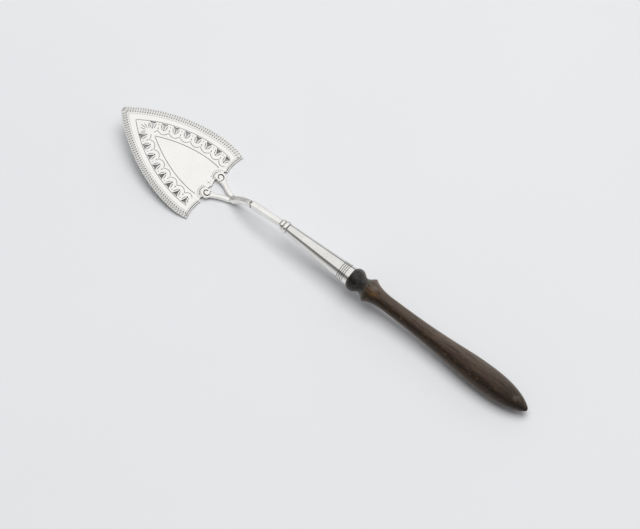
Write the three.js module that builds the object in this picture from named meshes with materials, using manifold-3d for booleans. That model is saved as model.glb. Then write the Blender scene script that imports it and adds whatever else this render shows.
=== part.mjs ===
// A butter spade: a pierced blade on a scrolled, forked stem, and a turned handle held in a tapered socket.
// Millimetres. +X runs from the blade's tip to the handle's butt, +Z is up and Z = 0 is the table:
// the spade lies on the two heel corners of its blade and on the belly of its handle.
import * as THREE from 'three';
import { mergeVertices } from 'three/addons/utils/BufferGeometryUtils.js';
import Module from 'manifold-3d';

const wasm = await Module();
wasm.setup();

// Fits: the soldered or bedded seam between two pieces, and the play round the pin.
const SEAM = 0.3;
const PIN_PLAY = 0.15;

// Blade outline, in its own plane. Along is measured from the line through the heel corners to the tip.
const BLADE_LENGTH = 63.2;
const BLADE_WIDTH = 47.6;
const BLADE_THICKNESS = 1.0;
const BLADE_PITCH = THREE.MathUtils.degToRad(13.4);
const WIDEST_AT = 8.5;
const TIP_HALF_ANGLE = THREE.MathUtils.degToRad(48);
const TIP_FULLNESS = 10;
const SIDE_FULLNESS = 26;
const TIP_ROUNDING = 1.2;
const HEEL_WIDTH = 45;
const CUSP_SPACING = 18.8;
const CUSP_AT = 0.4;
const CENTRE_CUSP_AT = 2.0;
const OUTER_SCALLOP_RISE = 1.1;
const INNER_SCALLOP_RISE = 1.6;

// Pierced frieze: concave-sided triangles, base outwards, in two hand-spaced rows that follow the edge.
const PIERCING_INSET = 6.5;
const PIERCING_BASE = 3.1;
const PIERCING_DEPTH = 3.6;
const PIERCING_HOLLOW = 0.22;
const HEEL_BORDER = 1.8;
const RIGHT_ROW_START = 3.7;
const RIGHT_ROW_PITCH = 6.22;
const LEFT_ROW_START = 5.2;
const LEFT_ROW_PITCH = 5.96;
const AXIS_WEB = 1.2;

// Scrolls: each arm's end is a strip curled in a flat spiral on to a button, lying on the blade.
const SCROLL_SPACING = 10.9;
const SCROLL_AT = 1.55;
const SCROLL_RADIUS = 2.9;
const SCROLL_STRIP = 1.1;
const SCROLL_DEPTH = 1.7;
const SCROLL_START = THREE.MathUtils.degToRad(-115);
const SCROLL_END = THREE.MathUtils.degToRad(350);
const EYE_RADIUS = 0.75;
const EYE_DOME = 0.25;
const EYE_FLAT = 0.6;

// Arms and neck of the fork. The arms meet in the crotch, just clear of the table.
const CROTCH_X = 10;
const TABLE_CLEARANCE = 0.2;
const ARM_WIDTH = 2.35;
const ARM_DEPTH = 2.6;
const ARM_BEND = 1.8;
const NECK_WIDTH = 3.1;
const NECK_DEPTH = 3.5;
const NECK_FOOT_REACH = 3;
const NECK_HEAD_REACH = 7;
const NECK_TAPER = 0.5;
const EDGE_CHAMFER = 0.4;

// Shaft: a square bar, proud of the neck at the lap, with a round tang through the knop into the socket.
const LAP_X = 25;
const LAP_HEIGHT = 12.5;
const SHAFT_WIDTH = 3.3;
const SHAFT_DEPTH = 4.4;
const SHAFT_END_WIDTH = 2.9;
const SHAFT_END_DEPTH = 4.0;
const LAP_BEVEL = 0.5;
const TONGUE_LENGTH = 5;
const MORTISE_WALL = 0.55;

// Knop: two rounded rings. The point where the shaft meets it is the start of the handle's axis.
const KNOP_X = 44.1;
const KNOP_HEIGHT = 14.95;
const FRONT_RING_RADIUS = 3.0;
const FRONT_RING_LENGTH = 1.8;
const REAR_RING_RADIUS = 3.5;
const REAR_RING_LENGTH = 2.1;
const RING_WALL = 0.3;

// Socket: a hollow cone, solid at its narrow end, with fine turned grooves near its mouth.
const SOCKET_LENGTH = 40.7;
const SOCKET_TIP_RADIUS = 2.8;
const SOCKET_MOUTH_RADIUS = 5.2;
const SOCKET_WALL = 0.8;
const SOCKET_SOLID_LENGTH = 7;
const GROOVE_COUNT = 4;
const GROOVE_PITCH = 1.1;
const GROOVE_WIDTH = 0.4;
const GROOVE_DEPTH = 0.15;
const MOUTH_BAND = 2.9;
const PLUG_LENGTH = 6.3;

// Handle, measured along its axis from the socket's mouth.
const HANDLE_LENGTH = 109.7;
const BULB_RADIUS = 6.15;
const BULB_AT = 2.6;
const THROAT_RADIUS = 4.2;
const THROAT_AT = 7.0;
const FLARE_RADIUS = 6.6;
const FLARE_AT = 11.0;
const WAIST_RADIUS = 4.0;
const WAIST_AT = 22.9;
const BELLY_RADIUS = 6.88;
const BELLY_TO_BUTT = 24.8;
const BUTT_RADIUS = 0.4;
const PIN_RADIUS = 0.8;
const PIN_PAST_AXIS = 1.5;

// How far each turned curve keeps its starting or ending radius, as a share of its span.
const QUARTER_ROUND = 0.55;
const BULB_EASE = 0.5;
const THROAT_EASE = 0.33;
const COVE_EASE = 0.33;
const WAIST_EASE = 0.6;
const BELLY_EASE = 0.29;
const OGIVE_EASE = 0.37;
const OGIVE_FULLNESS = 0.75;

// Smoothness of the curves, in flats.
const ROUND_SEGMENTS = 32;
const SMALL_SEGMENTS = 16;
const SCALLOP_STEPS = 8;
const CHEEK_STEPS = 4;
const FLANK_STEPS = 28;
const NOSE_STEPS = 6;
const PIERCING_STEPS = 4;
const ROW_STEPS = 400;
const SCROLL_STEPS = 24;
const ARM_STEPS = 10;
const NECK_STEPS = 14;
const RING_STEPS = 6;
const TURNING_STEPS = 6;
const SWELL_STEPS = 10;

const WELD_DISTANCE = 1e-4;
const STEEPEST_DROOP = Math.PI / 6;
const HALVINGS = 50;

// Roughness of each finish.
const PLATE_FINISH = 0.3;
const FORGED_FINISH = 0.25;
const TURNED_FINISH = 0.2;
const OILED_FINISH = 0.5;
const PITCH_FINISH = 0.8;

const silver = (roughness) => new THREE.MeshStandardMaterial({ color: 0xdedcd6, roughness, metalness: 1 });
const wood = () => new THREE.MeshStandardMaterial({ color: 0x3e3028, roughness: OILED_FINISH, metalness: 0 });
const pitch = () => new THREE.MeshStandardMaterial({ color: 0x1c1714, roughness: PITCH_FINISH, metalness: 0 });

function named(name, geometry, material) {
  const mesh = new THREE.Mesh(geometry, material);
  mesh.name = name;
  return mesh;
}

// Booleans work on closed meshes with shared vertices, so only the positions are kept.
function solid(geometry) {
  const bare = geometry.clone();
  bare.deleteAttribute('normal');
  bare.deleteAttribute('uv');
  const merged = mergeVertices(bare, WELD_DISTANCE);
  const vertProperties = new Float32Array(merged.attributes.position.array);
  const triVerts = new Uint32Array(merged.index.array);
  return new wasm.Manifold(new wasm.Mesh({ numProp: 3, vertProperties, triVerts }));
}

function geometryOf(manifold) {
  const mesh = manifold.getMesh();
  const geometry = new THREE.BufferGeometry();
  geometry.setAttribute('position', new THREE.BufferAttribute(new Float32Array(mesh.vertProperties), 3));
  geometry.setIndex(new THREE.BufferAttribute(new Uint32Array(mesh.triVerts), 1));
  geometry.computeVertexNormals();
  return geometry;
}

const join = (...geometries) => geometryOf(geometries.map(solid).reduce((a, b) => a.add(b)));
const cut = (body, tool) => geometryOf(solid(body).subtract(solid(tool)));

// A turned piece: a profile of (radius, distance) points revolved about +X.
function turned(profile, segments = ROUND_SEGMENTS) {
  return new THREE.LatheGeometry(profile, segments).rotateZ(-Math.PI / 2);
}

// One station of a bar: a chamfered rectangle standing square to its direction.
function station(centre, direction, up, width, depth) {
  const ahead = direction.clone().normalize();
  const side = up.clone().cross(ahead).normalize();
  const top = ahead.clone().cross(side);
  return { centre, side, top, width, depth };
}

// A bar lofted through its stations, closed at both ends.
function bar(stations) {
  const positions = [];
  const triangles = [];
  for (const { centre, side, top, width, depth } of stations) {
    const w = width / 2;
    const d = depth / 2;
    const c = Math.min(EDGE_CHAMFER, w / 2, d / 2);
    const corners = [
      [w, c - d], [w, d - c], [w - c, d], [c - w, d],
      [-w, d - c], [-w, c - d], [c - w, -d], [w - c, -d],
    ];
    for (const [across, above] of corners) {
      const point = centre.clone().addScaledVector(side, across).addScaledVector(top, above);
      positions.push(point.x, point.y, point.z);
    }
  }
  const sides = positions.length / 3 / stations.length;
  const last = (stations.length - 1) * sides;
  for (let row = 0; row < last; row += sides) {
    for (let i = 0; i < sides; i += 1) {
      const j = (i + 1) % sides;
      triangles.push(row + i, row + j, row + sides + j, row + i, row + sides + j, row + sides + i);
    }
  }
  for (let i = 1; i < sides - 1; i += 1) {
    triangles.push(0, i + 1, i, last, last + i, last + i + 1);
  }
  const geometry = new THREE.BufferGeometry();
  geometry.setAttribute('position', new THREE.Float32BufferAttribute(positions, 3));
  geometry.setIndex(triangles);
  return geometry;
}

// Blade outline: heel scallops between cusps, then the side that bows out and runs in to the tip.
const scallop = (from, to, rise) => new THREE.QuadraticBezierCurve(
  from,
  new THREE.Vector2((from.x + to.x) / 2, (from.y + to.y) / 2 + 2 * rise),
  to,
);
const centreCusp = new THREE.Vector2(0, CENTRE_CUSP_AT);
const sideCusp = new THREE.Vector2(CUSP_SPACING / 2, CUSP_AT);
const heelCorner = new THREE.Vector2(HEEL_WIDTH / 2, 0);
const widest = new THREE.Vector2(BLADE_WIDTH / 2, WIDEST_AT);
const tip = new THREE.Vector2(0, BLADE_LENGTH);
const innerHeel = scallop(centreCusp, sideCusp, INNER_SCALLOP_RISE);
const outerHeel = scallop(sideCusp, heelCorner, OUTER_SCALLOP_RISE);
const cheek = new THREE.QuadraticBezierCurve(
  heelCorner,
  new THREE.Vector2(widest.x, widest.y / 2),
  widest,
);
const flank = new THREE.CubicBezierCurve(
  widest,
  new THREE.Vector2(widest.x, widest.y + SIDE_FULLNESS),
  new THREE.Vector2(TIP_FULLNESS * Math.sin(TIP_HALF_ANGLE), tip.y - TIP_FULLNESS * Math.cos(TIP_HALF_ANGLE)),
  tip,
);

const mirrored = (point) => new THREE.Vector2(-point.x, point.y);

function bladeOutline() {
  const right = [
    ...innerHeel.getPoints(SCALLOP_STEPS).slice(0, -1),
    ...outerHeel.getPoints(SCALLOP_STEPS).slice(0, -1),
    ...cheek.getPoints(CHEEK_STEPS).slice(0, -1),
    ...flank.getPoints(FLANK_STEPS).filter((point) => point.x > TIP_ROUNDING),
  ];
  const noseStart = new THREE.Vector2(TIP_ROUNDING, tip.y - TIP_ROUNDING / Math.tan(TIP_HALF_ANGLE));
  const nose = new THREE.QuadraticBezierCurve(noseStart, tip, mirrored(noseStart)).getPoints(NOSE_STEPS);
  const left = right.slice(1).reverse().map(mirrored);
  return [...right, ...nose, ...left];
}

// One piercing: a triangle whose three sides bow in towards its middle.
function piercing(base, along, inward) {
  const corner = (u, v) => base.clone().addScaledVector(along, u).addScaledVector(inward, v);
  const corners = [
    corner(-PIERCING_BASE / 2, 0),
    corner(PIERCING_BASE / 2, 0),
    corner(0, PIERCING_DEPTH),
  ];
  const middle = corner(0, PIERCING_DEPTH / 3);
  const points = [];
  corners.forEach((from, i) => {
    const to = corners[(i + 1) % 3];
    const bow = from.clone().lerp(to, 0.5).lerp(middle, 2 * PIERCING_HOLLOW);
    points.push(...new THREE.QuadraticBezierCurve(from, bow, to).getPoints(PIERCING_STEPS).slice(0, -1));
  });
  return points;
}

// A row of piercings keeps an even step along a line inset from the edge. It is measured from where
// it clears the heel's border, and stops short of the axis.
function piercingRow(start, step) {
  const edge = new THREE.CurvePath();
  edge.add(cheek);
  edge.add(flank);
  const row = [];
  let walked = 0;
  let before = null;
  for (let i = 0; i < ROW_STEPS; i += 1) {
    const along = edge.getTangent(i / ROW_STEPS);
    const inward = new THREE.Vector2(-along.y, along.x);
    const base = edge.getPoint(i / ROW_STEPS).addScaledVector(inward, PIERCING_INSET);
    const point = base.clone().addScaledVector(inward, PIERCING_DEPTH);
    if (Math.min(base.y, point.y) < HEEL_BORDER) continue;
    if (point.x < AXIS_WEB) break;
    walked += before ? base.distanceTo(before) : 0;
    before = base;
    if (walked >= start + row.length * step) row.push(piercing(base, along, inward));
  }
  return row;
}

const outline = bladeOutline();

function piercedBlade() {
  const shape = new THREE.Shape(outline);
  const right = piercingRow(RIGHT_ROW_START, RIGHT_ROW_PITCH);
  const left = piercingRow(LEFT_ROW_START, LEFT_ROW_PITCH).map((points) => points.map(mirrored));
  shape.holes = [...right, ...left].map((points) => new THREE.Path(points));
  return new THREE.ExtrudeGeometry(shape, { depth: BLADE_THICKNESS, bevelEnabled: false });
}

// The blade's plane: across is +Y, along runs from heel to tip and rises with the pitch.
const bladeTurn = new THREE.Euler(0, BLADE_PITCH, Math.PI / 2, 'YZX');
const onBlade = (across, along, above) => new THREE.Vector3(across, along, BLADE_THICKNESS + above)
  .applyEuler(bladeTurn);
const bladeNormal = new THREE.Vector3(0, 0, 1).applyEuler(bladeTurn);

const X = new THREE.Vector3(1, 0, 0);
const Z = new THREE.Vector3(0, 0, 1);
const scrollMiddle = SEAM + SCROLL_DEPTH / 2;
const rootY = (ARM_WIDTH + SEAM) / 2;
const rootHeight = TABLE_CLEARANCE + ARM_DEPTH / 2;

// Scroll line: the middle of the curled strip, which winds in at an even rate and ends on the rim of the eye.
class ScrollLine extends THREE.Curve {
  constructor(hand) {
    super();
    this.hand = hand;
  }

  getPoint(t) {
    const angle = THREE.MathUtils.lerp(SCROLL_START, SCROLL_END, t);
    const outer = SCROLL_RADIUS - SCROLL_STRIP / 2;
    const radius = THREE.MathUtils.mapLinear(angle, 0, SCROLL_END, outer, EYE_RADIUS);
    const across = SCROLL_SPACING / 2 + radius * Math.cos(angle);
    return onBlade(this.hand * across, SCROLL_AT + radius * Math.sin(angle), scrollMiddle);
  }
}

function scrollStrip(hand) {
  const route = new ScrollLine(hand);
  const stations = [];
  for (let i = 0; i <= SCROLL_STEPS; i += 1) {
    const t = i / SCROLL_STEPS;
    stations.push(station(route.getPoint(t), route.getTangent(t), bladeNormal, SCROLL_STRIP, SCROLL_DEPTH));
  }
  return bar(stations);
}

function scrollEye(hand) {
  const half = SCROLL_DEPTH / 2;
  const button = new THREE.LatheGeometry([
    new THREE.Vector2(0, -half),
    new THREE.Vector2(EYE_RADIUS, -half),
    new THREE.Vector2(EYE_RADIUS, half),
    new THREE.Vector2(EYE_RADIUS * EYE_FLAT, half + EYE_DOME),
    new THREE.Vector2(0, half + EYE_DOME),
  ], SMALL_SEGMENTS).rotateX(Math.PI / 2);
  const place = onBlade(hand * SCROLL_SPACING / 2, SCROLL_AT, scrollMiddle);
  const matrix = new THREE.Matrix4().makeRotationFromEuler(bladeTurn).setPosition(place);
  return button.applyMatrix4(matrix);
}

// Arm: level with the scroll's top, it starts past the blade's heel, reaches down to just above the table
// and runs beside its twin to the crotch.
function arm(hand) {
  const along = SCROLL_AT - SCROLL_RADIUS + SCROLL_STRIP / 2;
  const top = onBlade(hand * SCROLL_SPACING / 2, along, SEAM + SCROLL_DEPTH);
  const startDepth = (top.z - TABLE_CLEARANCE) / bladeNormal.z;
  const start = top.addScaledVector(bladeNormal, -startDepth / 2);
  const end = new THREE.Vector3(CROTCH_X, hand * rootY, rootHeight);
  const bend = new THREE.Vector3(CROTCH_X - ARM_BEND, hand * rootY, rootHeight);
  const route = new THREE.QuadraticBezierCurve3(start, bend, end);
  const stations = [];
  for (let i = 0; i <= ARM_STEPS; i += 1) {
    const t = i / ARM_STEPS;
    const up = bladeNormal.clone().lerp(Z, t);
    const depth = THREE.MathUtils.lerp(startDepth, ARM_DEPTH, t);
    stations.push(station(route.getPoint(t), route.getTangent(t), up, ARM_WIDTH, depth));
  }
  return bar(stations);
}

const scrollArm = (hand) => join(scrollStrip(hand), scrollEye(hand), arm(hand));

// The shaft runs straight from the lap to the knop, and the neck's head lines up with its underside.
const knop = new THREE.Vector3(KNOP_X, 0, KNOP_HEIGHT);
const shaftStart = new THREE.Vector3(LAP_X, 0, LAP_HEIGHT);
const shaftDirection = knop.clone().sub(shaftStart).normalize();
const shaftUp = new THREE.Vector3(-shaftDirection.z, 0, shaftDirection.x);
const neckEnd = shaftStart.clone()
  .addScaledVector(shaftDirection, -SEAM)
  .addScaledVector(shaftUp, (NECK_DEPTH - SHAFT_DEPTH) / 2);
const tongueWidth = SHAFT_WIDTH - 2 * (MORTISE_WALL + SEAM);
const tongueDepth = NECK_DEPTH - 2 * (MORTISE_WALL + SEAM);

function tongue(margin) {
  const place = (along) => neckEnd.clone().addScaledVector(shaftDirection, along);
  return bar([-SEAM - margin, SEAM + TONGUE_LENGTH + margin].map((along) => station(
    place(along), shaftDirection, shaftUp, tongueWidth + 2 * margin, tongueDepth + 2 * margin,
  )));
}

function stemNeck() {
  const foot = new THREE.Vector3(CROTCH_X + SEAM, 0, rootHeight);
  const route = new THREE.CubicBezierCurve3(
    foot,
    foot.clone().addScaledVector(X, NECK_FOOT_REACH),
    neckEnd.clone().addScaledVector(shaftDirection, -NECK_HEAD_REACH),
    neckEnd,
  );
  const footWidth = 2 * (rootY + ARM_WIDTH / 2);
  const stations = [];
  for (let i = 0; i <= NECK_STEPS; i += 1) {
    const t = i / NECK_STEPS;
    const taper = THREE.MathUtils.smoothstep(t, 0, NECK_TAPER);
    const width = THREE.MathUtils.lerp(footWidth, NECK_WIDTH, taper);
    const depth = THREE.MathUtils.lerp(ARM_DEPTH, NECK_DEPTH, taper);
    stations.push(station(route.getPoint(t), route.getTangent(t), Z, width, depth));
  }
  return join(bar(stations), tongue(0));
}

// Handle axis: from the knop it droops until the handle's belly rests on the table.
const rearRingStart = FRONT_RING_LENGTH + SEAM;
const socketStart = rearRingStart + REAR_RING_LENGTH + SEAM;
const socketFloor = socketStart + SOCKET_SOLID_LENGTH;
const mouth = socketStart + SOCKET_LENGTH;
const socketRadius = (along) => THREE.MathUtils.mapLinear(
  along, socketStart, mouth, SOCKET_TIP_RADIUS, SOCKET_MOUTH_RADIUS,
);
const boreRadius = (along) => socketRadius(along) - SOCKET_WALL;
const fillRadius = (along) => boreRadius(along) - SEAM;
const tangRadius = Math.min(
  FRONT_RING_RADIUS - FRONT_RING_LENGTH / 2,
  REAR_RING_RADIUS - REAR_RING_LENGTH / 2,
  SOCKET_TIP_RADIUS,
) - RING_WALL - SEAM;
const tangBore = tangRadius + SEAM;
const shoulder = mouth + SEAM;
const tenonEnd = socketFloor + SEAM + PLUG_LENGTH + SEAM;
const pinAt = (tenonEnd + mouth) / 2;
const bellyAt = HANDLE_LENGTH - BELLY_TO_BUTT;

// Handle profile: tapered tenon, bulb, throat, sharp-edged flare, cove to the waist, swell and pointed butt.
function handleProfile() {
  const { lerp } = THREE.MathUtils;
  const at = (radius, along) => new THREE.Vector2(radius, mouth + along);
  const bulbRise = new THREE.CubicBezierCurve(
    at(SOCKET_MOUTH_RADIUS, SEAM),
    at(lerp(SOCKET_MOUTH_RADIUS, BULB_RADIUS, QUARTER_ROUND), SEAM),
    at(BULB_RADIUS, lerp(BULB_AT, SEAM, QUARTER_ROUND)),
    at(BULB_RADIUS, BULB_AT),
  );
  const bulbFall = new THREE.CubicBezierCurve(
    at(BULB_RADIUS, BULB_AT),
    at(BULB_RADIUS, lerp(BULB_AT, THROAT_AT, BULB_EASE)),
    at(THROAT_RADIUS, lerp(THROAT_AT, BULB_AT, THROAT_EASE)),
    at(THROAT_RADIUS, THROAT_AT),
  );
  const flare = new THREE.QuadraticBezierCurve(
    at(THROAT_RADIUS, THROAT_AT),
    at(THROAT_RADIUS, lerp(THROAT_AT, FLARE_AT, THROAT_EASE)),
    at(FLARE_RADIUS, FLARE_AT),
  );
  const cove = new THREE.QuadraticBezierCurve(
    at(FLARE_RADIUS, FLARE_AT),
    at(WAIST_RADIUS, lerp(FLARE_AT, WAIST_AT, COVE_EASE)),
    at(WAIST_RADIUS, WAIST_AT),
  );
  const swell = new THREE.CubicBezierCurve(
    at(WAIST_RADIUS, WAIST_AT),
    at(WAIST_RADIUS, lerp(WAIST_AT, bellyAt, WAIST_EASE)),
    at(BELLY_RADIUS, lerp(bellyAt, WAIST_AT, BELLY_EASE)),
    at(BELLY_RADIUS, bellyAt),
  );
  const ogive = new THREE.CubicBezierCurve(
    at(BELLY_RADIUS, bellyAt),
    at(BELLY_RADIUS, lerp(bellyAt, HANDLE_LENGTH, OGIVE_EASE)),
    at(lerp(BUTT_RADIUS, BELLY_RADIUS, OGIVE_FULLNESS), lerp(bellyAt, HANDLE_LENGTH, OGIVE_FULLNESS)),
    at(BUTT_RADIUS, HANDLE_LENGTH),
  );
  return [
    new THREE.Vector2(0, tenonEnd),
    new THREE.Vector2(fillRadius(tenonEnd), tenonEnd),
    new THREE.Vector2(fillRadius(shoulder), shoulder),
    ...bulbRise.getPoints(TURNING_STEPS).slice(0, -1),
    ...bulbFall.getPoints(TURNING_STEPS).slice(0, -1),
    ...flare.getPoints(TURNING_STEPS).slice(0, -1),
    ...cove.getPoints(TURNING_STEPS).slice(0, -1),
    ...swell.getPoints(SWELL_STEPS).slice(0, -1),
    ...ogive.getPoints(SWELL_STEPS),
    at(0, HANDLE_LENGTH),
  ];
}

const profile = handleProfile();

function restingDroop() {
  const lowest = (droop) => Math.min(...profile.map(
    (point) => KNOP_HEIGHT - point.y * Math.sin(droop) - point.x * Math.cos(droop),
  ));
  let low = 0;
  let high = STEEPEST_DROOP;
  for (let i = 0; i < HALVINGS; i += 1) {
    const middle = (low + high) / 2;
    if (lowest(middle) > 0) low = middle;
    else high = middle;
  }
  return low;
}

const droop = restingDroop();
const handleTurn = new THREE.Matrix4().makeRotationY(droop).setPosition(knop);
const handleUp = Z.clone().transformDirection(handleTurn);
const handleDirection = X.clone().transformDirection(handleTurn);

function stemShaft() {
  const end = knop.clone().addScaledVector(handleDirection, -SEAM);
  const bevelled = shaftStart.clone().addScaledVector(shaftDirection, LAP_BEVEL);
  const block = bar([
    station(shaftStart, shaftDirection, shaftUp, SHAFT_WIDTH - LAP_BEVEL, SHAFT_DEPTH - LAP_BEVEL),
    station(bevelled, shaftDirection, shaftUp, SHAFT_WIDTH, SHAFT_DEPTH),
    station(end, handleDirection, handleUp, SHAFT_END_WIDTH, SHAFT_END_DEPTH),
  ]);
  const tang = turned([
    new THREE.Vector2(0, -SEAM - tangRadius),
    new THREE.Vector2(tangRadius, -SEAM - tangRadius),
    new THREE.Vector2(tangRadius, socketFloor - SEAM),
    new THREE.Vector2(0, socketFloor - SEAM),
  ], SMALL_SEGMENTS).applyMatrix4(handleTurn);
  return cut(join(block, tang), tongue(SEAM));
}

// A rounded ring with a bore that clears the tang.
function ring(radius, length, start) {
  const bulge = length / 2;
  const points = [new THREE.Vector2(tangBore, start)];
  for (let i = 0; i <= RING_STEPS; i += 1) {
    const angle = Math.PI * i / RING_STEPS;
    points.push(new THREE.Vector2(
      radius - bulge + bulge * Math.sin(angle),
      start + bulge - bulge * Math.cos(angle),
    ));
  }
  points.push(new THREE.Vector2(tangBore, start + length), points[0].clone());
  return turned(points);
}

function pinHole() {
  const length = SOCKET_MOUTH_RADIUS + PIN_PAST_AXIS + 2 * SEAM;
  const centre = PIN_PAST_AXIS + SEAM - length / 2;
  return new THREE.CylinderGeometry(PIN_RADIUS + PIN_PLAY, PIN_RADIUS + PIN_PLAY, length, SMALL_SEGMENTS)
    .rotateX(Math.PI / 2)
    .translate(pinAt, 0, centre);
}

function handlePin() {
  const length = socketRadius(pinAt) + PIN_PAST_AXIS;
  return new THREE.CylinderGeometry(PIN_RADIUS, PIN_RADIUS, length, SMALL_SEGMENTS)
    .rotateX(Math.PI / 2)
    .translate(pinAt, 0, PIN_PAST_AXIS - length / 2);
}

function socketCone() {
  const points = [
    new THREE.Vector2(tangBore, socketStart),
    new THREE.Vector2(SOCKET_TIP_RADIUS, socketStart),
  ];
  for (let i = GROOVE_COUNT - 1; i >= 0; i -= 1) {
    const centre = mouth - MOUTH_BAND - i * GROOVE_PITCH;
    const start = centre - GROOVE_WIDTH / 2;
    const end = centre + GROOVE_WIDTH / 2;
    points.push(
      new THREE.Vector2(socketRadius(start), start),
      new THREE.Vector2(socketRadius(centre) - GROOVE_DEPTH, centre),
      new THREE.Vector2(socketRadius(end), end),
    );
  }
  points.push(
    new THREE.Vector2(SOCKET_MOUTH_RADIUS, mouth),
    new THREE.Vector2(boreRadius(mouth), mouth),
    new THREE.Vector2(boreRadius(socketFloor), socketFloor),
    new THREE.Vector2(tangBore, socketFloor),
    points[0].clone(),
  );
  return cut(turned(points), pinHole());
}

// Pitch: poured into the socket, it fills what the tenon leaves empty.
function pitchPlug() {
  const start = socketFloor + SEAM;
  const end = tenonEnd - SEAM;
  return turned([
    new THREE.Vector2(0, start),
    new THREE.Vector2(fillRadius(start), start),
    new THREE.Vector2(fillRadius(end), end),
    new THREE.Vector2(0, end),
  ], SMALL_SEGMENTS);
}

const blade = new THREE.Group();
blade.rotation.copy(bladeTurn);
blade.add(named('pierced_blade', piercedBlade(), silver(PLATE_FINISH)));

const stem = new THREE.Group();
stem.add(
  named('left_scroll_arm', scrollArm(-1), silver(FORGED_FINISH)),
  named('right_scroll_arm', scrollArm(1), silver(FORGED_FINISH)),
  named('stem_neck', stemNeck(), silver(FORGED_FINISH)),
  named('stem_shaft', stemShaft(), silver(FORGED_FINISH)),
);

const handle = new THREE.Group();
handle.position.copy(knop);
handle.rotation.y = droop;
handle.add(
  named('knop_front_ring', ring(FRONT_RING_RADIUS, FRONT_RING_LENGTH, 0), silver(TURNED_FINISH)),
  named('knop_rear_ring', ring(REAR_RING_RADIUS, REAR_RING_LENGTH, rearRingStart), silver(TURNED_FINISH)),
  named('socket_cone', socketCone(), silver(TURNED_FINISH)),
  named('pitch_plug', pitchPlug(), pitch()),
  named('turned_handle', cut(turned(profile), pinHole()), wood()),
  named('handle_pin', handlePin(), silver(FORGED_FINISH)),
);

// The origin lies on the table, midway between the blade's tip and the handle's butt.
const tipX = -Math.max(...outline.map((point) => point.y)) * Math.cos(BLADE_PITCH);
const buttX = KNOP_X + (mouth + HANDLE_LENGTH) * Math.cos(droop) + BUTT_RADIUS * Math.sin(droop);
const spade = new THREE.Group();
spade.position.x = -(tipX + buttX) / 2;
spade.add(blade, stem, handle);

export default spade;
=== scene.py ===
"""A butter spade: a pierced and engraved silver blade on a scrolled stem, with a turned wooden handle."""
import math

import bmesh
import bpy
from mathutils import Matrix, Vector
from mathutils.geometry import interpolate_bezier


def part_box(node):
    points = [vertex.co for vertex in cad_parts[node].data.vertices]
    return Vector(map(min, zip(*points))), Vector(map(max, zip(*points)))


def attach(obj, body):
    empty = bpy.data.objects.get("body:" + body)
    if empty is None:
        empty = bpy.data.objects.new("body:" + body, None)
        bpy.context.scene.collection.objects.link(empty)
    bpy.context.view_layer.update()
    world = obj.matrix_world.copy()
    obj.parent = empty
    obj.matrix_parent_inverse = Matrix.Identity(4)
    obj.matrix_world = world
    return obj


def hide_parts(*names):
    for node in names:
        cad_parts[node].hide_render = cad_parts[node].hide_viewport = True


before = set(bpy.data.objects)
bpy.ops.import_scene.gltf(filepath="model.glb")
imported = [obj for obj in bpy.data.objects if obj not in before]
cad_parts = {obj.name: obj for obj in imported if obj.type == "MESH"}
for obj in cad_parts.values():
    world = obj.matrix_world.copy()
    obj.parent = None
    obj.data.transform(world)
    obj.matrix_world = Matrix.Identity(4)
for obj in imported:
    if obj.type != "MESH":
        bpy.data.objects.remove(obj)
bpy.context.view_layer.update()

# Blade: a flat plate of silver, sawn to a pointed leaf with a scalloped heel, its edges filed round.
# It rises from the two corners of its heel, on which the spade lies, to its tip. Sizes are millimetres,
# across and along the blade, and measured from the line through its heel corners.
millimetre = 0.001
blade_length = 63.9
blade_width = 47.6
blade_thickness = 1.0
blade_pitch = math.radians(13.4)
widest_at = 8.5
tip_half_angle = math.radians(48)
tip_fullness = 10.0
side_fullness = 26.0
tip_rounding = 2.2
heel_width = 45.0
cusp_spacing = 18.8
cusp_at = 0.4
centre_cusp_at = 2.0
outer_scallop_rise = 1.1
inner_scallop_rise = 1.6
edge_rounding = 0.22
flank_points = 100

heel_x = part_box("pierced_blade")[1].x - blade_thickness * millimetre * math.sin(blade_pitch)
to_frame = Matrix.Translation((heel_x, 0, 0)) @ Matrix.Scale(millimetre, 4)
up_slope = Matrix((
    (0, -math.cos(blade_pitch), math.sin(blade_pitch)),
    (1, 0, 0),
    (0, math.sin(blade_pitch), math.cos(blade_pitch)),
)).to_4x4()


def point(across, along):
    return Vector((across, along, 0))


def quadratic(start, control, end, count):
    return interpolate_bezier(start, start.lerp(control, 2 / 3), end.lerp(control, 2 / 3), end, count)


def scallop(start, end, rise, count):
    return quadratic(start, (start + end) / 2 + point(0, 2 * rise), end, count)


def mirrored(points):
    return [point(-p.x, p.y) for p in points]


heel_corner = point(heel_width / 2, 0)
side_cusp = point(cusp_spacing / 2, cusp_at)
widest = point(blade_width / 2, widest_at)
tip = point(0, blade_length)
tip_slope = point(math.sin(tip_half_angle), -math.cos(tip_half_angle))
inner_heel = scallop(point(0, centre_cusp_at), side_cusp, inner_scallop_rise, count=16)
outer_heel = scallop(side_cusp, heel_corner, outer_scallop_rise, count=20)
cheek = quadratic(heel_corner, point(widest.x, widest.y / 2), widest, count=12)
flank_start = widest + point(0, side_fullness)
flank_end = tip + tip_fullness * tip_slope
flank = interpolate_bezier(widest, flank_start, flank_end, tip, flank_points)
nose_start = point(tip_rounding, tip.y - tip_rounding / math.tan(tip_half_angle))
nose = quadratic(nose_start, tip, mirrored([nose_start])[0], count=10)
right_half = inner_heel[:-1] + outer_heel[:-1] + cheek[:-1] + [p for p in flank if p.x > tip_rounding]
outline = right_half + nose + mirrored(right_half[:0:-1])


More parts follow.
